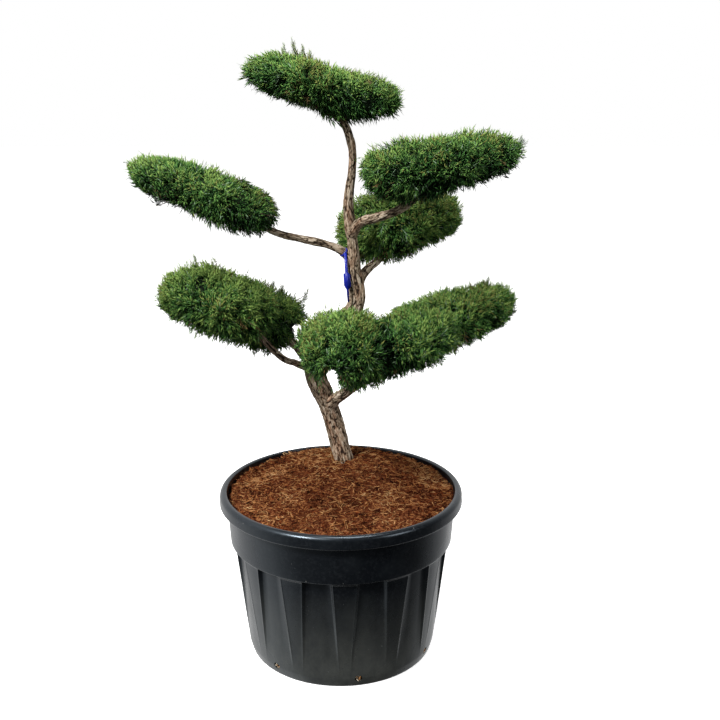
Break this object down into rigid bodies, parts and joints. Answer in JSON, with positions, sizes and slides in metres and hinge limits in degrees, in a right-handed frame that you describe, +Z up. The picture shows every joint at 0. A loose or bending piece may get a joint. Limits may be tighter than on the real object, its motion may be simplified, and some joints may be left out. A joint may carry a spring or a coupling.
{
  "type": "cloud-pruned pfitzer juniper in a nursery pot",
  "caption": "Cloud-pruned pfitzer juniper: a leaning, bent trunk with boughs that end in clipped foliage pads, in a fluted black nursery pot of bark compost.",
  "frame": {"origin": "centre of the pot's flat underside, which stands on the ground", "axes": "+Z up along the pot's axis, +X to the plant's right seen from its front, -Y towards its front"},
  "size_m": [1.2812, 0.8736, 2.09],
  "materials": {
    "pot_plastic": "satin black, faintly scuffed",
    "compost": "loose fibrous red-brown bark",
    "bark": "stringy grey-brown bark",
    "foliage": "dense feathery green sprays",
    "label": "plain blue plastic"
  },
  "bodies": {
    "root": {"pot": "pot_plastic", "soil": "compost", "trunk": "bark", "bough_front": "bark", "bough_mid": "bark", "bough_right": "bark", "bough_left_rear": "bark", "bough_left_front": "bark", "bough_left_high": "bark", "bough_right_high": "bark", "bough_back": "bark", "foliage_top": "foliage", "foliage_left_high": "foliage", "foliage_right_high": "foliage", "foliage_back": "foliage", "foliage_left_front": "foliage", "foliage_left_rear": "foliage", "foliage_front": "foliage", "foliage_mid": "foliage", "foliage_right": "foliage", "label": "label"}
  },
  "joints": []
}
